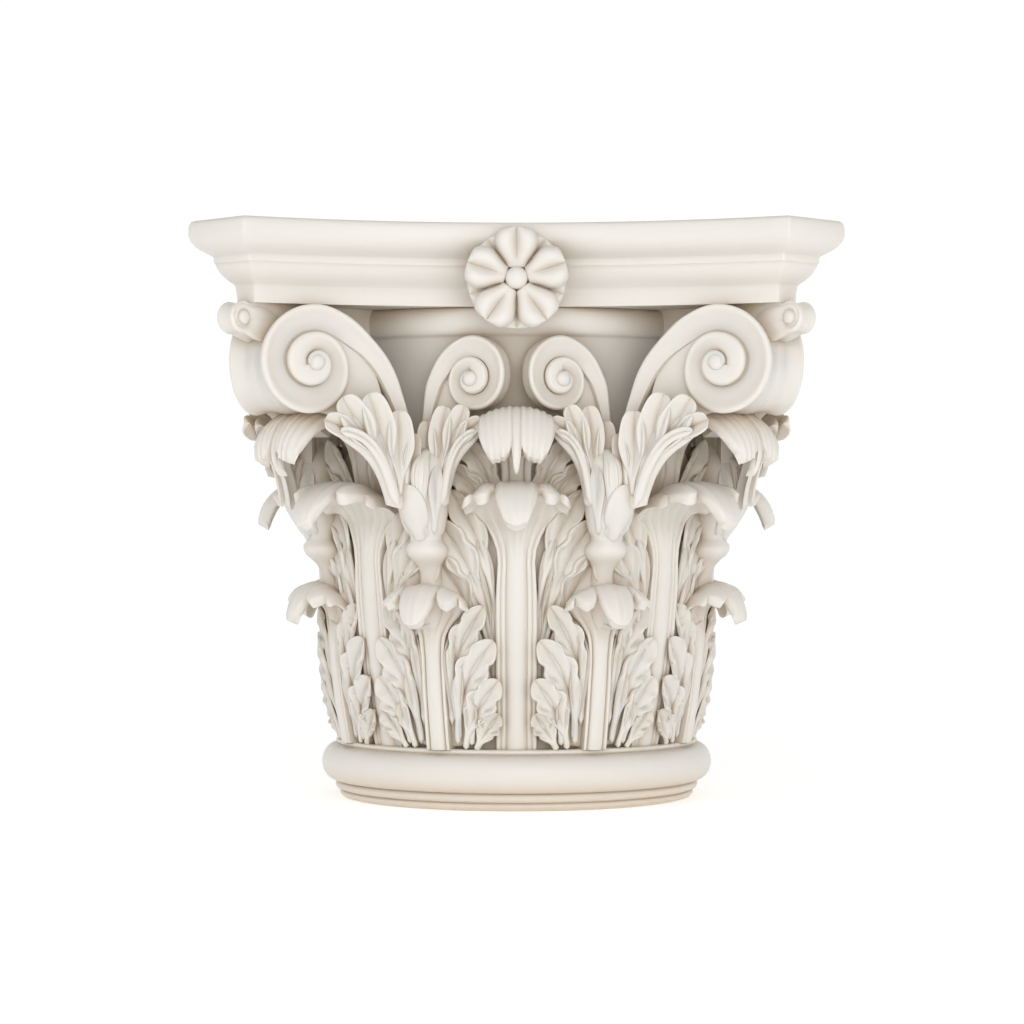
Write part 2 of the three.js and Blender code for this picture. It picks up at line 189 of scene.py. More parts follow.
# from the underside up: a step is (radius, height), a round is (centre, radii, first and last angle, steps)
FOOT = [
    (169, 0), (173, 1), ((172, 5), (4, 3.2), -60, 60, 6),
    (176.5, 8.6), (176.5, 9), ((177.5, 13), (3, 4), -70, 70, 8),
    (177.9, 17.5), ((179.5, 35.25), (14.5, 17.75), -88, 88, 22),
    (178.8, 53.4), ((177, 55.9), (3, 2.6), -60, 88, 8), (164, 58.5),
]
FOOT_SIDES = 128
BELL = [
    (163, 50), (163, 190), (172, 330), (178, 370), (186, 405), (194, 432), (198, 441), (200, 444.5),
    ((200.5, 459.5), (7, 13.5), -85, 85, 12), (198, 476),
]
BELL_SIDES = 96
ABACUS = {
    # the hollow side's ends are near and far from the axis, and its middle is at its reach
    "low": 473, "near": 245, "far": 301, "reach": 235.5, "side_steps": 28,
    # how far each arris is softened, and the share of that by which it is drawn in
    "softened": 1.7, "drawn_in": 0.4,
    # inset from the widest outline against height above the underside
    "mould": [
        (36, 0), (35.4, 8), (34.6, 15.4), (33.4, 17.2), (29.4, 20.5), (25.6, 24.5), (22.6, 28.5),
        (20.6, 32.5), (19.6, 36), (18.6, 36.5), (18.2, 42.3), (17, 43.2), (13, 45.5), (8.5, 48.5), (4.5, 52),
        (1.5, 56.5), (0.3, 60), (0, 63), (0, 68), (0.6, 71.5), (1.8, 73.8), (4, 75),
    ],
}


def arc(centre, radii, start, end, count):
    """(radius, height) steps on an arc of an ellipse, angles in degrees from straight out."""
    angles = np.radians(np.linspace(start, end, count))
    return [(centre[0] + radii[0] * math.cos(a), centre[1] + radii[1] * math.sin(a)) for a in angles]


def turned_piece(parts, sides):
    steps = []
    for part in parts:
        steps += [part] if len(part) == 2 else arc(*part)
    return clean(turn_up(steps, sides))


def abacus_outline(inset):
    """Points round the abacus at an inset: hollow arcs between cut corners, their arrises softened."""
    rise = ABACUS["far"] - ABACUS["reach"]
    hollow = (ABACUS["near"] ** 2 + rise**2) / (2 * rise)
    radius = hollow + inset
    centre = ABACUS["reach"] + hollow
    # the cut corner is the line across + out = corner, which the arc meets at each arris
    corner = ABACUS["near"] + ABACUS["far"] - inset * math.sqrt(2)
    gap = centre - corner
    sweep = math.asin((-gap + math.sqrt(2 * radius**2 - gap**2)) / (2 * radius))
    soft = ABACUS["softened"]
    angles = np.linspace(-1, 1, ABACUS["side_steps"] + 1) * (sweep - soft / radius)
    side = np.stack([radius * np.sin(angles), radius * np.cos(angles) - centre], axis=-1)
    arris = np.array([radius * math.sin(sweep), radius * math.cos(sweep) - centre])
    pulled = arris * (1 - ABACUS["drawn_in"] * soft / np.linalg.norm(arris))
    beyond = arris + soft * math.sqrt(0.5)
    mirror = np.array([-1, 1])
    side = np.concatenate([[beyond * mirror, pulled * mirror], side, [pulled, beyond]])
    turned = [side]
    for _ in range(SIDES - 1):
        turned.append(np.stack([-turned[-1][:, 1], turned[-1][:, 0]], axis=-1))
    return np.concatenate(turned)


def abacus():
    """The outline carried up through the mouldings and closed below and above at the axis."""
    outlines = [abacus_outline(inset) for inset, height in ABACUS["mould"]]
    middle = 0 * outlines[0]
    loops = np.array([middle, *outlines, middle])
    rises = [height for inset, height in ABACUS["mould"]]
    heights = ABACUS["low"] + np.array([rises[0], *rises, rises[-1]])
    columns = len(middle)

    def place(u, v):
        column = np.round((u + 1) / 2 * columns).astype(int) % columns
        row = np.round(v * (len(loops) - 1)).astype(int)
        flat = loops[row, column]
        return np.stack([flat[:, 0], flat[:, 1], heights[row]], axis=-1)

    return clean(carve(columns, len(loops) - 1, place))


# Leaflets

# the share of a blade's columns that lie on its front
FRONT = 0.75
# height across a blade from its middle to its edge, as a share of its depth
SCOOPED = (
    [0, 0.12, 0.3, 0.5, 0.7, 0.84, 0.93, 1],
    [-1, -0.72, -0.5, -0.3, -0.02, 0.24, 0.26, -0.15],
)
PUFFED = (
    [0, 0.17, 0.34, 0.5, 0.64, 0.77, 0.87, 0.94, 0.985, 1],
    [-0.5, 0.1, 0.5, 0.62, 0.6, 0.45, 0.2, -0.2, -0.7, -1],
)
FLUTED = (
    [0, 0.17, 0.34, 0.5, 0.64, 0.77, 0.87, 0.94, 0.985, 1],
    [0.9, 0.55, 0.75, 0.3, 0.5, 0.1, 0.1, -0.3, -0.8, -1],
)
# places along a blade where its edge is notched, and how deeply
NOTCHES = ((0.6, 0.2), (0.8, 0.26))
BLADE = {
    "columns": 24, "rows": 30,
    # a blade narrower than this is plain and has a coarser grid
    "small": 8.2, "small_columns": 16, "small_rows": 18,
    # how much closer the rows lie towards the tip, and the two powers that round its outline
    "crowding": 1.5, "tip_powers": (2.3, 0.55),
    # how far the halves of a heart swell past its notch
    "heart_swell": 1.3, "heart_power": 1.5,
    "notch_half": 0.042, "crease_half": 0.04, "crease_slant": 0.3, "crease_depth": 1.6,
    "crease_from": (0.25, 0.6),
    # the round stem's height as a share of its half width, and how much of that is sunk
    "stem_height": 0.85, "stem_sunk": 0.6,
    "tip_flattened": 0.75, "lifts_over": (0.1, 0.8), "full_depth_from": 0.4,
}


def section(u):
    """Across a leaflet from edge to edge on its front, then back along its rear: (across, share of rear)."""
    across = np.sin(np.clip(u / FRONT, -1, 1) * math.pi / 2)
    rear = np.clip((np.abs(u) - FRONT) / (1 - FRONT), 0, 1)
    return across * (1 - rear), rear


def notched(v, across, notches):
    """The share of a blade's width that the cuts in its edge leave, and the depth of their creases."""
    kept = 1
    creases = 0
    for notch, cut in notches:
        kept = kept * (1 - cut * np.exp(-(((v - notch) / BLADE["notch_half"]) ** 2)))
        ray = notch - BLADE["crease_slant"] * (1 - np.abs(across))
        fade = ease(*BLADE["crease_from"], np.abs(across))
        creases = creases + cut * np.exp(-(((v - ray) / BLADE["crease_half"]) ** 2)) * fade
    return kept, creases


def leaflet(
    ground, foot, bend, tip, half, stem=3, lift=(1, 7), scoop=8, depth=(9, 6), swell=(0.2, 0.72),
    blunt=0.66, shape=SCOOPED, curl=2.5, heart=0, notches=NOTCHES,
):
    """A blade from its foot past the bend to its tip: a round stem that opens into a broad end, notched at
    its sides and, with a heart, at its tip. Foot, bend and tip are (across, height) on the ground."""
    foot, bend, tip = (np.asarray(point, float) for point in (foot, bend, tip))
    small = half < BLADE["small"]

    def place(u, v):
        v = 1 - (1 - v) ** BLADE["crowding"]
        across, rear = section(u)
        ending = np.clip((v - blunt) / (1 - blunt), 0, 1)
        halves = np.abs(across) ** BLADE["heart_power"] * np.sin(math.pi * ending ** BLADE["heart_power"])
        reached = v * (1 - heart * ending**2) + BLADE["heart_swell"] * heart * halves
        along = reached[:, None]
        centre = foot * (1 - along) ** 2 + 2 * bend * along * (1 - along) + tip * along**2
        run = 2 * (bend - foot) * (1 - along) + 2 * (tip - bend) * along
        run /= np.linalg.norm(run, axis=1)[:, None] + 1e-9
        opened = ease(*swell, v)
        inner, outer = BLADE["tip_powers"]
        kept, creases = notched(v, across, () if small else notches)
        width = mix(stem, half, opened) * (1 - ending**inner) ** outer * (v > 0) * kept
        side = across * width
        flat = centre + np.stack([run[:, 1], -run[:, 0]], axis=-1) * side[:, None]
        dome = np.sqrt(np.clip(1 - across**2, 0, 1))
        round_stem = BLADE["stem_height"] * stem * (dome - BLADE["stem_sunk"])
        faded = 1 - BLADE["tip_flattened"] * ending**3
        relief = scoop * (np.interp(np.abs(across), *shape) * faded - BLADE["crease_depth"] * creases)
        front = mix(round_stem, relief, opened)
        over = mix(lift[0], lift[1], ease(*BLADE["lifts_over"], v)) - curl * ending**2
        thick = mix(depth[0], depth[1], v) * np.clip(width / (BLADE["full_depth_from"] * stem), 0, 1)
        height = over + front * np.clip(width / stem, 0, 1) * (1 - rear) - rear * thick
        return ground(flat[:, 0], flat[:, 1], height)

    grid = "small_" if small else ""
    return carve(BLADE[grid + "columns"], BLADE[grid + "rows"], place)


def both_sides(ground, sprays):
    """Each spray of leaflets on a leaf's right side, and the same on its left."""
    pieces = []
    for side in (1, -1):
        for spray in sprays:
            given = dict(spray)
            for end in ("foot", "bend", "tip"):
                given[end] = (side * given[end][0], given[end][1])
            pieces.append(leaflet(ground, **given))
    return pieces


# Acanthus leaves

# how much nearer the axis than its neck a leaf's body bends, which sets it upright
UPRIGHT = 3
# where along a long leaflet its blade opens
LATE = (0.42, 0.84)
# a leaf's foot and neck are (distance from the axis, height), its curl is how far its tip folds out and over,
# its trunk is half widths at stations along its line, its pipes are (place across, half width, height) and
# the lobes of its tip are (place across, half width, share of the fold that they hang down)
LOWER = {
    "foot": (176, 58), "neck": (191, 177), "curl": (21, 32), "droop": 0.12,
    "trunk": ([0, 0.5, 0.8, 0.92, 1, 1.1, 1.25, 1.5, 1.75, 2], [12, 12, 12.5, 15, 21, 29, 37, 42, 42, 36]),
    "pipes": [(0, 0.62, 4.5), (0.84, 0.17, 2.6)], "flutes": 5, "scallop": 0.004,
    "lobes": [(0, 0.4, 1.0), (0.62, 0.22, 0.76), (0.92, 0.12, 0.6)],
    "sag": 17, "rib": 4, "cap": 6,
    "ground": ([58, 80, 150, 180, 196], [47, 50, 48, 38, 22]),
    "sprays": [
        {"foot": (36, 58), "bend": (42, 70), "tip": (60, 93), "half": 11.5, "lift": (3, 8)},
        {"foot": (32, 62), "bend": (34, 80), "tip": (36, 104), "half": 6, "lift": (2, 7)},
        {"foot": (26, 58), "bend": (30, 88), "tip": (62, 125), "half": 15.5, "lift": (3, 10)},
        {"foot": (20, 66), "bend": (21, 96), "tip": (26, 135), "half": 6, "lift": (2, 7)},
        {"foot": (19, 62), "bend": (18, 116), "tip": (59, 162), "half": 16.5, "lift": (2.5, 10)},
        {"foot": (14.5, 80), "bend": (14, 128), "tip": (19, 168), "half": 5.5, "lift": (2, 6)},
        {"foot": (15, 90), "bend": (13, 146), "tip": (50, 194), "half": 14.5, "lift": (2, 8.5)},
    ],
}
UPPER = {
    "foot": (167, 58), "neck": (190, 266), "curl": (29, 39), "droop": 0.05,
    "trunk": (
        [0, 0.55, 0.75, 0.87, 0.94, 1, 1.1, 1.25, 1.5, 1.75, 2],
        [19, 19.5, 19, 18, 21, 28, 38, 46, 51, 50, 40],
    ),
    "pipes": [(0, 0.5, 5), (0.62, 0.13, 2.6), (0.87, 0.13, 3.4)], "flutes": 7, "scallop": 0.006,
    "lobes": [(0, 0.38, 1.0), (0.59, 0.22, 0.72), (0.91, 0.13, 0.58)],
    "sag": 20, "rib": 4.5, "cap": 7,
    "ground": ([58, 110, 180, 235, 270, 294], [18, 26, 60, 64, 56, 36]),
    "sprays": [
        {"foot": (30, 120), "bend": (40, 166), "tip": (74, 208), "half": 18, "lift": (2, 9), "swell": LATE},
        {"foot": (25, 110), "bend": (30, 186), "tip": (79, 242), "half": 20, "lift": (2, 10), "swell": LATE},
        {"foot": (24, 130), "bend": (25, 186), "tip": (42, 226), "half": 8, "lift": (2, 8)},
        {"foot": (21, 120), "bend": (20, 212), "tip": (76, 274), "half": 20, "lift": (2, 9.5), "swell": LATE},
        {"foot": (22, 150), "bend": (22, 216), "tip": (34, 256), "half": 7, "lift": (1.5, 7)},
        {
            "foot": (19, 150), "bend": (14, 232), "tip": (62, 301), "half": 16.5, "lift": (1.5, 8),
            "swell": LATE,
        },
    ],
}
UPPER_CORNER = {**UPPER, "neck": (196, 266), "curl": (41, 39)}
INNER = {
    "foot": (172, 250), "neck": (190, 338), "curl": (28, 36), "droop": 0.25,
    "trunk": ([0, 0.6, 0.9, 1, 1.15, 1.3, 1.5, 1.75, 2], [15, 15, 16, 20, 28, 32, 35, 35, 29]),
    "pipes": [(0, 0.45, 3.5), (0.72, 0.24, 2.6)], "flutes": 11, "scallop": 0.006,
    "lobes": [(0.5, 0.5, 1.0), (0, 0.16, 1.12), (0.95, 0.12, 0.7)],
    "sag": 10, "rib": 4, "cap": 5.5,
    "ground": ([250, 290, 330, 348], [34, 52, 42, 22]),
    "sprays": [
        {"foot": (21, 252), "bend": (30, 276), "tip": (68, 300), "half": 13, "lift": (2, 11)},
        {"foot": (17, 252), "bend": (22, 292), "tip": (64, 326), "half": 14.5, "lift": (2, 12)},
        {"foot": (14, 252), "bend": (13, 304), "tip": (50, 350), "half": 14.5, "lift": (2, 11)},
    ],
}
INNER_CORNER = {**INNER, "neck": (204, 338), "curl": (54, 38)}


def leaf_climb(leaf, share):
    """Distance from the axis up a leaf's body, by the share of its rise, and straight on past the neck."""
    foot, neck = leaf["foot"][0], leaf["neck"][0]
    inside = np.clip(share, 0, 1)
    bend = neck - UPRIGHT
    body = foot * (1 - inside) ** 2 + 2 * bend * inside * (1 - inside) + neck * inside**2
    return body + 2 * (neck - bend) * (share - inside)


def leaf_ground(leaf):
    low, high = leaf["foot"][1], leaf["neck"][1]

    def ground(across, height, lift):
        radius = leaf_climb(leaf, (height - low) / (high - low))
        return around(radius + lift, across / radius, height)

    return ground


def leaf_line(leaf, station):
    """Place and facing on the leaf's own line: station 0 is the foot, 1 the neck and 2 the hanging tip."""
    low, high = leaf["foot"][1], leaf["neck"][1]
    depth, rise = leaf["curl"]
    climb = np.clip(station, 0, 1)
    step = 1e-3
    radius = leaf_climb(leaf, climb)
    slope = (leaf_climb(leaf, climb) - leaf_climb(leaf, climb - step)) / step
    angle = math.pi - np.clip(station - 1, 0, 2) * (math.pi + leaf["droop"])
    curled = station > 1
    run = np.where(curled, depth * np.sin(angle), slope)
    up = np.where(curled, -rise * np.cos(angle), high - low)
    length = np.hypot(run, up)
    radius = np.where(curled, leaf["neck"][0] + depth + depth * np.cos(angle), radius)
    height = np.where(curled, high + rise * np.sin(angle), low + (high - low) * climb)
    return radius, height, up / length, -run / length


# a leaf's ribbed middle and folded tip
TRUNK = {
    "columns": 80, "rows": 44,
    # share of the rows that lie below the neck
    "body": 0.4,
    # thickness of the fold at the neck, and how much thinner its tip is
    "thick": 5.6, "thinner": 1.6,
    "flute": 1.1, "fine_flute": 0.75, "seam": 1.5, "seam_half": 0.045,
    # the rim starts to round here along the fold, and its back starts to close here
    "rim": 0.93, "closing": 0.97,
    "behind": -22, "sag_power": 2.2,
    # the share of the swelling that is left at the rim
    "rim_swell": 0.4,
    # between the lobes: how far down the fold reaches, and how hollow it is
    "between_reach": 0.56, "between_swell": -0.4, "lobe_drop": 0.28, "full_lobe": 0.25, "lobe_power": 2.6,
}
BACKING = {"columns": 16, "rows": 20, "sunk": 3, "edge_sunk": 2.5, "depth": 14}


def tip_lobes(leaf, across):
    """How far down each part of the folded tip reaches, and how full it is there."""
    reach = np.full_like(across, TRUNK["between_reach"])
    swell = np.full_like(across, TRUNK["between_swell"])
    for centre, half, length in leaf["lobes"]:
        offset = (np.abs(across) - centre) / half
        reach = np.maximum(reach, length - TRUNK["lobe_drop"] * offset**4)
        fullness = min(1, half / TRUNK["full_lobe"])
        swell = np.maximum(swell, (1 - np.abs(offset) ** TRUNK["lobe_power"]) * fullness)
    return reach, swell


def pipes(leaf, across):
    """Rounded ribs side by side up a leaf's trunk."""
    rise = np.zeros_like(across)
    for centre, half, height in leaf["pipes"]:
        offset = (np.abs(across) - centre) / half
        rise = np.maximum(rise, height * np.sqrt(np.clip(1 - offset**2, 0, 1)))
    return rise


def trunk(leaf):
    """The leaf's ribbed middle, which flares at the neck and folds forward and down in hanging lobes."""
    stations, halves = leaf["trunk"]

    def place(u, v):
        front = np.abs(u) <= 0.5
        across = np.where(front, 2 * u, np.sign(u) * 2 * (1 - np.abs(u)))
        body = TRUNK["body"]
        station = np.where(v < body, v / body, 1 + (v - body) / (1 - body))
        curled = np.clip(station - 1, 0, 1)
        flutes = np.cos(leaf["flutes"] * math.pi * across)
        reach, swell = tip_lobes(leaf, across)
        reach = reach - leaf["scallop"] * (1 - flutes)
        station = np.where(station > 1, 1 + curled * mix(1, reach, ease(0, 0.7, curled)), station)
        radius, height, out, up = leaf_line(leaf, station)
        half = curve(station, stations, halves)
        thick = TRUNK["thick"] - TRUNK["thinner"] * ease(0.3, 1, curled)
        ribbed = leaf["rib"] + pipes(leaf, across)
        face = mix(ribbed, thick / 2 + TRUNK["flute"] * flutes, ease(0.8, 1.2, station))
        edge = 1 - np.clip((curled - TRUNK["rim"]) / (1 - TRUNK["rim"]), 0, 1) ** 2
        seam = TRUNK["seam"] * np.exp(-((across / TRUNK["seam_half"]) ** 2)) * ease(0.3, 0.7, curled)
        fine = TRUNK["fine_flute"] * flutes * ease(0.1, 0.4, curled)
        full = swell * ease(0.4, 0.95, curled) * mix(TRUNK["rim_swell"], 1, edge)
        cap = thick + leaf["cap"] * full + fine - seam
        back = mix(TRUNK["behind"], -cap, ease(0.85, 1.1, station))
        lift = np.where(front, face * edge, np.where(curled > TRUNK["closing"], back * edge, back))
        # the side edge lies between the face and the back
        lift = np.where(np.abs(across) > 0.999, mix(face, back, 0.35) * edge, lift)
        side = leaf["sag"] * np.abs(across) ** TRUNK["sag_power"] * ease(0, 0.5, curled)
        return around(radius + out * lift, across * half / radius, height + up * lift - side)

    return carve(TRUNK["columns"], TRUNK["rows"], place)


def backing(leaf):
    """The leaf's sunk ground, which shows between the leaflets."""
    ground = leaf_ground(leaf)
    heights, halves = leaf["ground"]

    def place(u, v):
        across, rear = section(u)
        height = mix(heights[0], heights[-1], v)
        half = curve(height, heights, halves) * (v > 0) * (v < 1)
        lift = -BACKING["sunk"] - BACKING["edge_sunk"] * across**6 - rear * BACKING["depth"]
        return ground(across * half, height, lift)

    return carve(BACKING["columns"], BACKING["rows"], place)


def acanthus(leaf):
    """A whole leaf: its trunk and sunk ground with leaflets on both sides."""
    ground = leaf_ground(leaf)
    return clean(join([trunk(leaf), backing(leaf), *both_sides(ground, leaf["sprays"])]))


# Stalks with their cups

# distances from the axis and radii at heights up the stalk and its cup
STALK = {
    "columns": 28, "rows": 44, "least_radius": 8,
    "heights": [140, 200, 236, 238, 241, 246, 251, 254, 256, 263, 273, 286, 300, 316, 332, 342, 350],
    "distances": [
        176, 192, 202, 203, 204, 205, 206, 206.5, 207, 208.5, 210.5, 213, 214.5, 214, 210, 204, 198,
    ],
    "radii": [12, 13, 14, 15.5, 18.5, 19.5, 18.5, 15.5, 14, 17.5, 20.5, 23, 24.5, 25, 23, 16, 0],
}
CUP_SPRAYS = [
    {
        "foot": (7, 258), "bend": (9, 300), "tip": (8, 342), "half": 8.6, "lift": (0, 4), "scoop": 3,
        "stem": 4, "shape": FLUTED, "blunt": 0.6, "notches": (),
    },
    {
        "foot": (15, 260), "bend": (25, 285), "tip": (24, 326), "half": 8, "lift": (0, 2), "scoop": 2.4,
        "stem": 4,
    },
]
CUP_FRONT = {
    "foot": (0, 254), "bend": (0, 280), "tip": (0, 307), "half": 14, "lift": (0, 6), "scoop": 2.8, "stem": 8,
    "swell": (0.02, 0.45), "shape": FLUTED, "blunt": 0.45, "curl": 1, "notches": (),
}


def stalk_ground(across, height, lift):
    """A place on the cup: across its front, at a height, lifted off it."""
    distance = curve(height, STALK["heights"], STALK["distances"])
    radius = np.maximum(curve(height, STALK["heights"], STALK["radii"]), STALK["least_radius"])
    angle = across / radius
    out = distance + (radius + lift) * np.cos(angle)
    return np.stack([(radius + lift) * np.sin(angle), -out, height + 0 * across], axis=-1)


def stalk():
    def place(u, v):
        height = mix(STALK["heights"][0], STALK["heights"][-1], v)
        distance = curve(height, STALK["heights"], STALK["distances"])
        radius = curve(height, STALK["heights"], STALK["radii"]) * (v > 0) * (v < 1)
        angle = math.pi * u
        return np.stack([radius * np.sin(angle), -distance - radius * np.cos(angle), height], axis=-1)

    body = carve(STALK["columns"], STALK["rows"], place)
    return clean(join([body, leaflet(stalk_ground, **CUP_FRONT), *both_sides(stalk_ground, CUP_SPRAYS)]))


# Scrolls

# a scroll stands in an upright plane and its eye is (along the plane, height); its radii are its distances
# from the eye at turns round it, its stem is the band's width before the first turn, and its floor is the
# distance of the floor's edge from the eye at shares of a turn
LOBE = {"heart": 0.045, "notches": (), "swell": (0.1, 0.58), "scoop": 6.5, "blunt": 0.5}
VOLUTE = {
    "start": (-83, -200), "towards": (-234, -267), "eye": (109.4, 419.4), "thickness": 45, "slim": 0.3,
    "turns": [-0.38, -0.342, -0.309, -0.263, -0.196, -0.11, 0, 0.25, 0.5, 0.75, 1, 1.25, 1.5, 1.75, 2, 2.3],
    "radii": [140, 112.8, 93.8, 77.8, 61.5, 54, 53.3, 52.3, 47, 31.5, 28, 28, 21.5, 14, 10.5, 9],
    "stem": [13, 16, 18, 20, 22, 24, 25], "rim": 4.6, "channel": 6.5, "rows": 160,
    "floor": (
        [0, 0.25, 0.4, 0.5, 0.55, 0.6, 0.63, 0.66, 0.69, 0.737, 0.8, 0.85, 1],
        [50, 49, 45, 41, 50, 72, 98, 88, 70, 58, 56, 54, 50],
    ),
    "sprays": [
        {
            "foot": (28, 284), "bend": (44, 358), "tip": (100, 364), "half": 15, "lift": (6, 9), "stem": 12,
            "shape": PUFFED, "scoop": 2.5, "notches": (),
        },
        {"foot": (27, 296), "bend": (20, 330), "tip": (15, 357), "half": 8.5, "lift": (10, 10), **LOBE},
        {"foot": (31, 296), "bend": (30, 340), "tip": (33, 379), "half": 14, "lift": (11, 13), **LOBE},
        {"foot": (38, 306), "bend": (48, 356), "tip": (64, 394), "half": 15.5, "lift": (11, 15), **LOBE},
        {"foot": (50, 326), "bend": (68, 356), "tip": (91, 390), "half": 15.5, "lift": (11, 16), **LOBE},
        {"foot": (64, 346), "bend": (88, 362), "tip": (108, 366), "half": 11, "lift": (12, 17), **LOBE},
        {
            "foot": (34, 286), "bend": (50, 356), "tip": (92, 356), "half": 5, "lift": (13, 17), "stem": 5,
            "shape": PUFFED, "scoop": 1.5, "blunt": 0.9,
        },
    ],
}
HELIX = {
    "start": (-90, -195), "towards": (0, -230), "eye": (50.3, 405), "thickness": 22, "slim": 0.7,
    "turns": [-0.42, -0.379, -0.252, -0.161, -0.08, 0, 0.25, 0.5, 0.75, 1, 1.25, 1.5, 1.75, 2],
    "radii": [98, 72.5, 44, 39, 39, 41, 33, 29, 22.5, 21, 17, 14, 9.8, 8],
    "stem": [11, 13, 16, 17, 18, 20], "rim": 3.6, "channel": 5.2, "rows": 130,
    "floor": ([0, 0.25, 0.5, 0.55, 0.6, 0.63, 0.68, 0.75, 0.85, 1], [38, 30, 25, 34, 48, 55, 42, 34, 36, 38]),
    "sprays": [
        {
            "foot": (20, 284), "bend": (26, 352), "tip": (64, 360), "half": 12, "lift": (5, 7), "stem": 9,
            "shape": PUFFED, "scoop": 2, "notches": (),
        },
        {"foot": (16, 292), "bend": (9, 336), "tip": (11, 370), "half": 11, "lift": (8, 10), **LOBE},
        {"foot": (21, 298), "bend": (21, 350), "tip": (30, 383), "half": 11.5, "lift": (9, 12), **LOBE},
        {"foot": (28, 316), "bend": (36, 352), "tip": (50, 383), "half": 11.5, "lift": (9, 13), **LOBE},
        {"foot": (36, 336), "bend": (46, 356), "tip": (68, 368), "half": 9, "lift": (9, 13), **LOBE},
        {
            "foot": (26, 288), "bend": (32, 352), "tip": (62, 356), "half": 4, "lift": (10, 13), "stem": 4,
            "shape": PUFFED, "scoop": 1.5, "blunt": 0.9,
        },
    ],
}


def scroll_ground(scroll):
    """The scroll's upright plane: along it, at a height, lifted off it."""
    start = Vector((*scroll["start"], 0))
    along = (Vector((*scroll["towards"], 0)) - start).normalized()
    out = Vector((-along.y, along.x, 0))
    if out.y > 0:
        out.negate()

    def ground(distance, height, lift):
        x = start.x + along.x * distance + out.x * lift
        y = start.y + along.y * distance + out.y * lift
        return np.stack([x, y, height + 0 * x], axis=-1)

    return ground


TURNED_COLUMNS = 64
BAND = {
    "last_gap": 0.4, "least_width": 0.5, "narrow_below": 3,
    # the turns over which the channel sinks in, and the width of band that has it in full
    "channel_turns": (-0.42, -0.1), "channel_width": 14, "least_channel": 0.2,
    # the turns over which the channel becomes a round cord, then the cord's section across the band
    "cord_turns": (0.75, 1.15), "cord_low": 4, "cord_high": 4.5, "cord_middle": 0.42, "cord_half": 0.6,
    "crown": 4, "crown_turns": (0.5, 2), "slim_until": -0.04, "face_above": -3, "wall_below": -5,
}


def band_outline(scroll):
    """Places round a band's section: (share of its width, inset, share of the channel's depth, lift)."""
    rim, back = scroll["rim"], -scroll["thickness"]
    wall = [
        (2.2, back), (0.4, back + 2.5), (0, back * 0.82), (2.4, back * 0.62), (3.2, back * 0.4),
        (1.4, back * 0.22), (0, -3.6), (0.3, -1.6), (1.3, -0.4), (rim * 0.65, 0),
    ]
    face = [
        (0, rim, 0.05), (0.12, rim, 0.35), (0.28, rim, 0.66), (0.45, rim, 0.86), (0.62, rim * 0.7, 0.97),
        (0.8, rim * 0.4, 1), (0.95, 0.6, 1),
    ]
    outline = [(0, inset, 0, lift) for inset, lift in wall] + [(*place, 0) for place in face]
    return outline + [(1, 1.2, 1, -2), (1, 1.2, 1, back)]


def scroll_band(scroll):
    """The band that climbs from the cup and winds in to the eye, with a rim, a channel and its side wall."""
    ground = scroll_ground(scroll)
    first, last = scroll["turns"][0], scroll["turns"][-1]
    stem_turns = scroll["turns"][: len(scroll["stem"])]
    outline = band_outline(scroll)
    share, inset, sunk, lift = (np.array(column, float) for column in zip(*outline))
    columns = len(outline)

    def place(u, v):
        turn = mix(first, last, v)
        index = np.round((u + 1) / 2 * columns).astype(int) % columns
        radius = curve(turn, scroll["turns"], scroll["radii"])
        next_radius = curve(turn + 1, scroll["turns"], scroll["radii"])
        wound = np.where(turn + 1 > last, radius - BAND["last_gap"], radius - next_radius)
        stem = np.interp(turn, stem_turns, scroll["stem"])
        width = np.where(turn < 0, stem, np.maximum(wound, BAND["least_width"]))
        narrow = np.clip(width / (BAND["narrow_below"] * scroll["rim"]), 0, 1)
        from_edge = share[index] * width + inset[index] * narrow
        deep = np.clip(width / BAND["channel_width"], BAND["least_channel"], 1)
        sinking = scroll["channel"] * sunk[index] * ease(*BAND["channel_turns"], turn) * deep
        offset = np.clip(from_edge / np.maximum(width, 1), 0, 1) - BAND["cord_middle"]
        dome = np.sqrt(np.clip(1 - (offset / BAND["cord_half"]) ** 2, 0, 1))
        cord = np.where(lift[index] > BAND["face_above"], BAND["cord_low"] - BAND["cord_high"] * dome, 0)
        depth = mix(sinking, cord, ease(*BAND["cord_turns"], turn))
        angle = 2 * math.pi * turn
        reach = radius - from_edge
        along = scroll["eye"][0] + reach * np.sin(angle)
        height = scroll["eye"][1] + reach * np.cos(angle)
        crown = BAND["crown"] * ease(*BAND["crown_turns"], turn)
        slim = mix(scroll["slim"], 1, ease(first, BAND["slim_until"], turn))
        off = lift[index] * np.where(lift[index] < BAND["wall_below"], slim, narrow)
        return ground(along, height, off - depth + crown)

    return carve(columns, scroll["rows"], place)


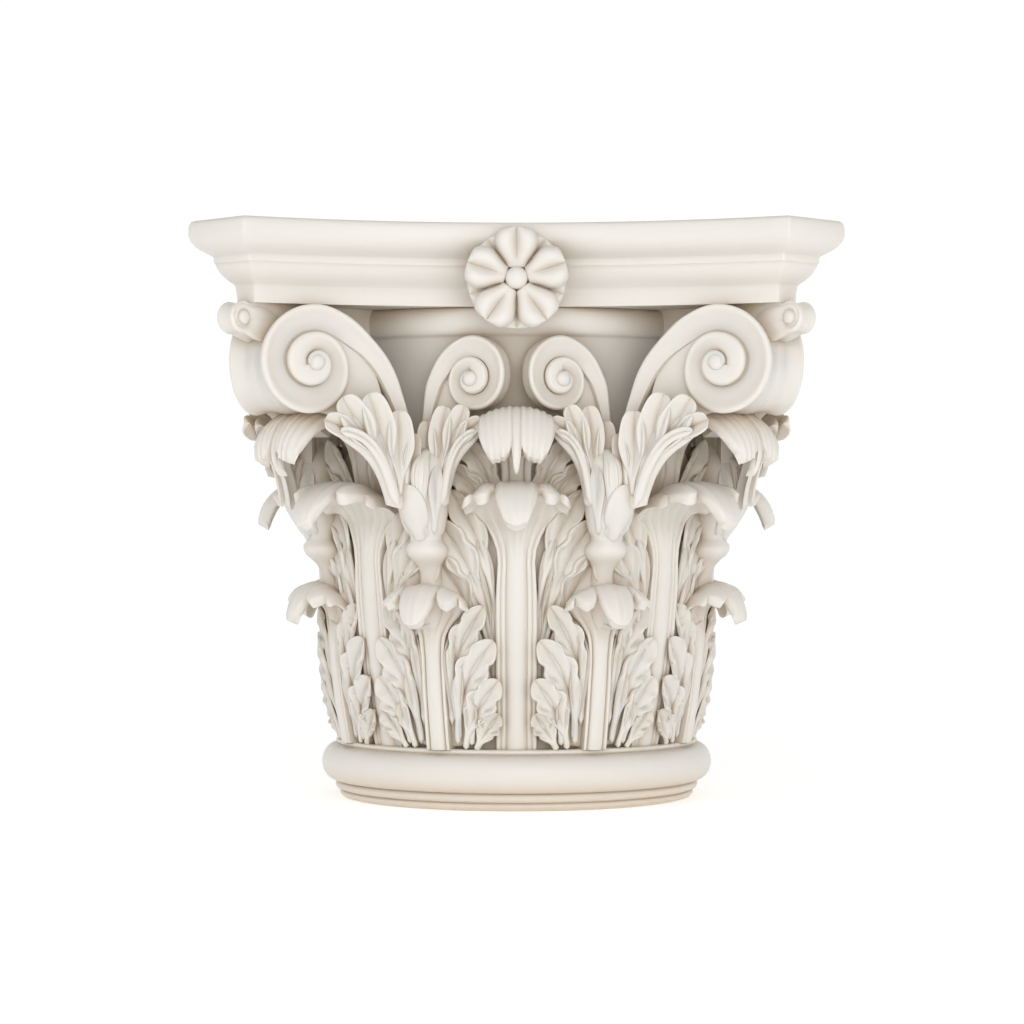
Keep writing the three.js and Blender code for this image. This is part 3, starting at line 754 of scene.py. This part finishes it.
def scroll_floor(scroll):
    """The button at the eye and the sunk floor behind the turns, which fills the wedge inside the stem."""
    ground = scroll_ground(scroll)
    back = -scroll["thickness"] + 2
    # from the button's middle out to the floor's edge and round to the middle of its back:
    # (share of the eye's radius, share of the floor's edge, lift)
    profile = [
        (0, 0, 6.2), (0.3, 0, 6), (0.6, 0, 5.2), (0.85, 0, 3.6), (1, 0, 1), (1, 0, -7),
        (0, 1, -7), (0, 1, back), (0, 0, back),
    ]
    button, floor, lift = (np.array(column, float) for column in zip(*profile))
    last = len(profile) - 1

    def place(u, v):
        row = np.round(v * last).astype(int)
        edge = np.interp(np.mod(u / 2, 1), *scroll["floor"])
        radius = button[row] * scroll["radii"][-1] + floor[row] * edge
        along = scroll["eye"][0] + radius * np.sin(math.pi * u)
        return ground(along, scroll["eye"][1] + radius * np.cos(math.pi * u), lift[row])

    return carve(TURNED_COLUMNS, last, place)


def scroll(sizes):
    """A whole scroll: its winding band and floor with the leaf that carries it."""
    ground = scroll_ground(sizes)
    sprays = [leaflet(ground, **spray) for spray in sizes["sprays"]]
    return clean(join([scroll_band(sizes), scroll_floor(sizes), *sprays]))


HORN = {
    "distance": 361, "height": 459, "half": 12.5, "waist": 12.6, "columns": 72,
    # the tail's length as a share of the radius, its direction, and the radii between which it draws out
    "tail": 2.1, "tail_angle": math.radians(193), "tail_power": 4, "tail_between": (8, 14),
    # the coil on each end: its first radius, its growth in a turn, and its relief
    "coil": 7.2, "coil_growth": 7.4, "coil_height": 1.7, "coil_half": 1.3, "coil_between": (7, 14),
    # the web behind the roll, which ties the corner to the bell, and how far it goes into the abacus
    "web_near": 200, "web_far": 350, "web_wide": 20, "web_high": 25, "web_sunk": 2,
    # from the middle of an end face out over the rim to the waist: (shift from the end, radius)
    "profile": [
        (1.6, 0), (1.5, 2.6), (0.8, 4.8), (-0.6, 6), (-2.2, 6.8), (-1.4, 8), (-0.6, 9.4), (-0.4, 10.8),
        (-0.6, 12.2), (-1.2, 13.6), (-2.8, 14.7), (-5, 14.4), (-8, 13.2),
    ],
}


def horn_web():
    deselect_all()
    bpy.ops.mesh.primitive_cube_add(size=1)
    web = bpy.context.object
    long, middle = HORN["web_far"] - HORN["web_near"], (HORN["web_far"] + HORN["web_near"]) / 2
    size = Matrix.Diagonal((HORN["web_wide"] * MM, long * MM, HORN["web_high"] * MM, 1))
    height = ABACUS["low"] + HORN["web_sunk"] - HORN["web_high"] / 2
    seat = Matrix.Translation((0, -middle * MM, height * MM))
    web.data.transform(Matrix.Rotation(-EIGHTH, 4, "Z") @ seat @ size)
    return web


def horn():
    """The small roll across each corner, under the abacus, with its tail running down between the volutes."""
    out = np.array([-math.sin(EIGHTH), -math.cos(EIGHTH)])
    across = np.array([-out[1], out[0]])
    profile = HORN["profile"]
    steps = [(-HORN["half"] - shift, radius) for shift, radius in profile] + [(0, HORN["waist"])]
    steps += [(HORN["half"] + shift, radius) for shift, radius in reversed(profile)]
    shifts, radii = (np.array(column, float) for column in zip(*steps))
    low, high = HORN["coil_between"]

    def place(u, v):
        row = np.round(v * (len(steps) - 1)).astype(int)
        angle = math.pi * u
        from_tail = angle - HORN["tail_angle"]
        radius = radii[row]
        wound = HORN["coil"] + HORN["coil_growth"] * np.mod(from_tail, 2 * math.pi) / (2 * math.pi)
        coil = HORN["coil_height"] * np.exp(-(((radius - wound) / HORN["coil_half"]) ** 2))
        shift = shifts[row] - np.sign(shifts[row]) * coil * (radius > low) * (radius < high)
        towards = np.clip(np.cos(from_tail), 0, 1) ** HORN["tail_power"]
        reach = radius * (1 + HORN["tail"] * towards * ease(*HORN["tail_between"], radius))
        flat = (HORN["distance"] + reach * np.cos(angle))[:, None] * out + shift[:, None] * across
        return np.stack([flat[:, 0], flat[:, 1], HORN["height"] + reach * np.sin(angle)], axis=-1)

    return clean(join([carve(HORN["columns"], len(steps) - 1, place), horn_web()]))


# Flowers

BLOOM = {
    "stem": 8, "depth": (14, 12), "swell": (0, 0.6), "blunt": 0.34, "curl": 6, "heart": 0.07, "notches": (),
    "shape": (
        [0, 0.1, 0.22, 0.4, 0.6, 0.8, 0.92, 1],
        [-1, -0.55, 0.2, 0.6, 0.62, 0.2, -0.5, -1.4],
    ),
}
FLOWER = {
    "height": 495.5, "front": 246, "petals": 5, "columns": 48,
    # each ring's distances from the middle to the foot, bend and tip of its blades
    "petal_reach": (8, 30, 50),
    "petal": {"half": 21, "lift": (4, 10), "scoop": 5, **BLOOM},
    "sepal_reach": (8, 28.8, 48),
    "sepal": {"half": 18, "lift": (-6, -1), "scoop": 3.5, **BLOOM},
    # radii and lifts from front to back
    "button": ([0, 5.5, 8.6, 10, 10.2, 9, 0], [18, 17.4, 15, 11, 6, -4, -6]),
    "boss": ([0, 26, 30, 30, 0], [-2, -3, -8, -30, -30]),
}


def flower_ground(across, height, lift):
    return np.stack([across, -FLOWER["front"] - lift, FLOWER["height"] + height], axis=-1)


def flower_ring(kind, first):
    blades = []
    for index in range(FLOWER["petals"]):
        angle = first + 2 * math.pi * index / FLOWER["petals"]
        direction = np.array([math.sin(angle), math.cos(angle)])
        foot, bend, tip = (direction * reach for reach in FLOWER[kind + "_reach"])
        blades.append(leaflet(flower_ground, foot, bend, tip, **FLOWER[kind]))
    return blades


def flower_turning(kind):
    radii, lifts = (np.array(column, float) for column in FLOWER[kind])

    def place(u, v):
        row = np.round(v * (len(radii) - 1)).astype(int)
        angle = math.pi * u
        return flower_ground(radii[row] * np.sin(angle), radii[row] * np.cos(angle), lifts[row])

    return carve(FLOWER["columns"], len(radii) - 1, place)


def flower():
    """Five puffed petals over five sepals round a button, on a boss that ties them to the abacus."""
    middle = [flower_turning("button"), flower_turning("boss")]
    petals = flower_ring("petal", 0)
    sepals = flower_ring("sepal", math.pi / FLOWER["petals"])
    return clean(join([*middle, *petals, *sepals]))


# Marble


class Socket:
    """A shader socket that can be used in a sum or a product, on either side of the sign."""

    def __init__(self, nodes, output):
        self.nodes = nodes
        self.output = output

    def maths(self, operation, other):
        return self.nodes.add("ShaderNodeMath", {"operation": operation}, {0: self, 1: other})

    def __add__(self, other):
        return self.maths("ADD", other)

    def __mul__(self, other):
        return self.maths("MULTIPLY", other)

    __radd__ = __add__
    __rmul__ = __mul__


class Nodes:
    """The nodes of one material."""

    def __init__(self, material):
        material.use_nodes = True
        self.tree = material.node_tree
        self.shader = self.tree.nodes["Principled BSDF"]

    def add(self, kind, settings=None, inputs=None, output=0):
        """A node of a kind, with its settings made first, then the values or links of its sockets."""
        node = self.tree.nodes.new(kind)
        for name, value in (settings or {}).items():
            if name == "stops":
                ramp = node.color_ramp.elements
                while len(ramp) < len(value):
                    ramp.new(0.5)
                for stop, (place, colour) in zip(ramp, value):
                    stop.position = place
                    stop.color = colour
            else:
                setattr(node, name, value)
        for name, value in (inputs or {}).items():
            self.feed(node.inputs[name], value)
        return Socket(self, node.outputs[output])

    def feed(self, socket, value):
        if isinstance(value, Socket):
            self.tree.links.new(value.output, socket)
        else:
            socket.default_value = value


def grey(value):
    return (value, value, value, 1)


def marble():
    """White marble, honed and a little see-through at its edges, with warm painted shade in its hollows that
    also stands for a little patina.
    """
    name = "honed_marble"
    if name in bpy.data.materials:
        return bpy.data.materials[name]
    colours = bpy.context.scene.capital_marble
    material = bpy.data.materials.new(name)
    nodes = Nodes(material)
    place = nodes.add("ShaderNodeTexCoord", output="Object")
    cloud = nodes.add(
        "ShaderNodeTexNoise", {}, {"Vector": place, "Scale": 5.5, "Detail": 5, "Roughness": 0.55}
    )
    swirl = nodes.add(
        "ShaderNodeTexNoise",
        {},
        {"Vector": place, "Scale": 2.4, "Detail": 7, "Roughness": 0.62, "Distortion": 1.6},
    )
    veins = nodes.add(
        "ShaderNodeValToRGB",
        {"stops": [(0.475, grey(0)), (0.5, grey(1)), (0.525, grey(0))]},
        {0: swirl},
    )
    # painted shade: ambient occlusion masks the recesses, and the hollow colour darkens and warms the marble
    # there, with a little patina
    shade = nodes.add("ShaderNodeAmbientOcclusion", {"samples": 6}, {"Distance": 0.05}, output="AO")
    hollow = nodes.add("ShaderNodeValToRGB", {"stops": [(0.22, grey(1)), (0.95, grey(0))]}, {0: shade})
    toned = (*colours.light, 1)
    # the last layer is the painted shade in the recesses
    layers = [(cloud, colours.cloud), (veins * cloud * 0.12, colours.vein), (hollow * 0.7, colours.hollow)]
    for share, colour in layers:
        toned = nodes.add(
            "ShaderNodeMix",
            {"data_type": "RGBA"},
            {"Factor": share, "A": toned, "B": (*colour, 1)},
            output=2,
        )
    grain = nodes.add("ShaderNodeTexNoise", {}, {"Vector": place, "Scale": 420, "Detail": 3})
    bump = nodes.add("ShaderNodeBump", {}, {"Strength": 0.05, "Distance": 0.0006, "Height": grain})
    shader = nodes.shader
    nodes.feed(shader.inputs["Base Color"], toned)
    nodes.feed(shader.inputs["Roughness"], 0.36 + cloud * 0.14)
    nodes.feed(shader.inputs["Normal"], bump)
    shader.inputs["Subsurface Weight"].default_value = 0.25
    shader.inputs["Subsurface Radius"].default_value = (1.0, 0.8, 0.6)
    shader.inputs["Subsurface Scale"].default_value = 0.006
    shader.inputs["IOR"].default_value = 1.5
    return material


# Properties


class CapitalMarble(bpy.types.PropertyGroup):
    light: bpy.props.FloatVectorProperty(
        name="Light", description="Colour of the marble's body", subtype="COLOR",
        default=(0.73, 0.705, 0.66), min=0, max=1,
    )
    cloud: bpy.props.FloatVectorProperty(
        name="Cloud", description="Colour of its soft clouds", subtype="COLOR",
        default=(0.70, 0.67, 0.62), min=0, max=1,
    )
    vein: bpy.props.FloatVectorProperty(
        name="Vein", description="Colour of its faint veins", subtype="COLOR",
        default=(0.62, 0.6, 0.58), min=0, max=1,
    )
    # painted shade: the warm dark colour mixed into the occluded recesses of the carving, with a little
    # patina
    hollow: bpy.props.FloatVectorProperty(
        name="Hollow", description="Colour deep in the carving", subtype="COLOR",
        default=(0.54, 0.43, 0.31), min=0, max=1,
    )


class CapitalStage(bpy.types.PropertyGroup):
    distance: bpy.props.FloatProperty(
        name="Camera distance", description="From the capital's axis", default=2.9, min=0.5, unit="LENGTH"
    )
    eye_height: bpy.props.FloatProperty(
        name="Eye height", description="Of the camera above the floor", default=0.2744, min=0, unit="LENGTH"
    )
    floor: bpy.props.FloatVectorProperty(
        name="Floor", description="Colour of the floor, under its own glow", subtype="COLOR",
        default=(0.96, 0.96, 0.96), min=0, max=1,
    )


# metres and watts
STAGE = {
    "floor_size": 24, "floor_glow": 0.37,
    "backdrop_sides": 96, "backdrop_radius": 8, "backdrop_height": 5, "backdrop_glow": 1,
    # (name, place, power, size)
    "lights": [
        ("key", (-1.6, -2.2, 2.6), 9, 1.2),
        ("front", (0.5, -3.4, 0.8), 38, 2.4),
        ("rim", (1.2, 2.6, 2.2), 6, 2.0),
    ],
    "aim": (0, 0, 0.3), "sky": 0.4,
    "camera": {"lens": 101.95, "sensor_width": 36, "shift_x": -0.0044, "shift_y": 0.0078},
}
WHITE = (1, 1, 1, 1)
BLACK = (0, 0, 0)


def stage_piece(piece, name, colour, glow):
    """Names a piece of the stage and covers it with a matt colour that also glows white."""
    piece.name = name
    bpy.ops.object.transform_apply(location=True, rotation=False, scale=False)
    cover = bpy.data.materials.new(f"stage_{name}")
    shader = Nodes(cover).shader
    shader.inputs["Base Color"].default_value = (*colour, 1)
    shader.inputs["Roughness"].default_value = 0.8
    shader.inputs["Emission Color"].default_value = WHITE
    shader.inputs["Emission Strength"].default_value = glow
    piece.data.materials.append(cover)


# Operators


class CAPITAL_OT_foot_ring(bpy.types.Operator):
    """Turn the foot ring: a bead between fillets"""

    bl_idname = "capital.foot_ring"
    bl_label = "Foot ring"

    def execute(self, context):
        finish_piece(turned_piece(FOOT, FOOT_SIDES), "foot_ring")
        return {"FINISHED"}


class CAPITAL_OT_bell(bpy.types.Operator):
    """Turn the bell and its lip"""

    bl_idname = "capital.bell"
    bl_label = "Bell"

    def execute(self, context):
        finish_piece(turned_piece(BELL, BELL_SIDES), "bell")
        return {"FINISHED"}


class CAPITAL_OT_abacus(bpy.types.Operator):
    """Cut the abacus with its hollow sides and mouldings"""

    bl_idname = "capital.abacus"
    bl_label = "Abacus"

    def execute(self, context):
        finish_piece(abacus(), "abacus")
        return {"FINISHED"}


class CAPITAL_OT_leaves(bpy.types.Operator):
    """Carve the three rows of acanthus leaves"""

    bl_idname = "capital.leaves"
    bl_label = "Acanthus leaves"

    def execute(self, context):
        copies_round(acanthus(LOWER), "lower_leaf", aside=PAIR_ANGLE, mirrored=True)
        copies_round(acanthus(UPPER), "upper_face_leaf")
        copies_round(acanthus(UPPER_CORNER), "upper_corner_leaf", first=EIGHTH)
        copies_round(acanthus(INNER), "inner_face_leaf")
        copies_round(acanthus(INNER_CORNER), "inner_corner_leaf", first=EIGHTH)
        return {"FINISHED"}


class CAPITAL_OT_stalks(bpy.types.Operator):
    """Carve the stalks and their cups"""

    bl_idname = "capital.stalks"
    bl_label = "Stalks"

    def execute(self, context):
        copies_round(stalk(), "stalk", aside=PAIR_ANGLE, mirrored=True)
        return {"FINISHED"}


class CAPITAL_OT_scrolls(bpy.types.Operator):
    """Wind the corner volutes, the helices and the small corner rolls"""

    bl_idname = "capital.scrolls"
    bl_label = "Scrolls"

    def execute(self, context):
        copies_round(scroll(VOLUTE), "volute", mirrored=True)
        copies_round(scroll(HELIX), "helix", mirrored=True)
        copies_round(horn(), "corner_scroll")
        return {"FINISHED"}


class CAPITAL_OT_flowers(bpy.types.Operator):
    """Carve the flower on each side of the abacus"""

    bl_idname = "capital.flowers"
    bl_label = "Flowers"

    def execute(self, context):
        copies_round(flower(), "flower")
        return {"FINISHED"}


class CAPITAL_OT_stage(bpy.types.Operator):
    """Lay the floor, hang the lights and place the camera"""

    bl_idname = "capital.stage"
    bl_label = "Stage"

    def execute(self, context):
        stage = context.scene.capital_stage
        deselect_all()
        bpy.ops.mesh.primitive_plane_add(size=STAGE["floor_size"], location=(0, 0, 0))
        stage_piece(context.object, "floor", stage.floor, STAGE["floor_glow"])
        deselect_all()
        bpy.ops.mesh.primitive_cylinder_add(
            vertices=STAGE["backdrop_sides"],
            radius=STAGE["backdrop_radius"],
            depth=STAGE["backdrop_height"],
            end_fill_type="NOTHING",
            location=(0, 0, STAGE["backdrop_height"] / 2),
        )
        stage_piece(context.object, "backdrop", BLACK, STAGE["backdrop_glow"])
        for name, place, power, size in STAGE["lights"]:
            bpy.ops.object.light_add(type="AREA", location=place)
            light = context.object
            light.name = name
            light.data.energy = power
            light.data.size = size
            aim = Vector(STAGE["aim"]) - Vector(place)
            light.rotation_euler = aim.to_track_quat("-Z", "Y").to_euler()
        context.scene.view_settings.view_transform = "Standard"
        world = context.scene.world or bpy.data.worlds.new("studio")
        context.scene.world = world
        world.use_nodes = True
        sky = world.node_tree.nodes["Background"]
        sky.inputs["Color"].default_value = WHITE
        sky.inputs["Strength"].default_value = STAGE["sky"]
        bpy.ops.object.camera_add(
            location=(0, -stage.distance, stage.eye_height), rotation=(math.pi / 2, 0, 0)
        )
        camera = context.object
        camera.name = "camera"
        for name, value in STAGE["camera"].items():
            setattr(camera.data, name, value)
        context.scene.camera = camera
        return {"FINISHED"}


class CAPITAL_PT_panel(bpy.types.Panel):
    """Lists the capital's pieces in the order they are made"""

    bl_idname = "CAPITAL_PT_panel"
    bl_label = "Corinthian capital"
    bl_space_type = "VIEW_3D"
    bl_region_type = "UI"
    bl_category = "Capital"

    def draw(self, context):
        for group in (context.scene.capital_marble, context.scene.capital_stage):
            for name in group.bl_rna.properties.keys():
                if name not in ("rna_type", "name"):
                    self.layout.prop(group, name)
        for step in STEPS:
            self.layout.operator(step.bl_idname)


STEPS = (
    CAPITAL_OT_foot_ring, CAPITAL_OT_bell, CAPITAL_OT_abacus, CAPITAL_OT_leaves, CAPITAL_OT_stalks,
    CAPITAL_OT_scrolls, CAPITAL_OT_flowers, CAPITAL_OT_stage,
)
CLASSES = (CapitalMarble, CapitalStage, *STEPS, CAPITAL_PT_panel)


def register():
    for made in CLASSES:
        bpy.utils.register_class(made)
    bpy.types.Scene.capital_marble = bpy.props.PointerProperty(type=CapitalMarble)
    bpy.types.Scene.capital_stage = bpy.props.PointerProperty(type=CapitalStage)


def unregister():
    del bpy.types.Scene.capital_stage
    del bpy.types.Scene.capital_marble
    for made in reversed(CLASSES):
        bpy.utils.unregister_class(made)


def main():
    register()
    bpy.ops.capital.foot_ring()
    bpy.ops.capital.bell()
    bpy.ops.capital.abacus()
    bpy.ops.capital.leaves()
    bpy.ops.capital.stalks()
    bpy.ops.capital.scrolls()
    bpy.ops.capital.flowers()
    bpy.ops.capital.stage()


if __name__ == "__main__":
    main()
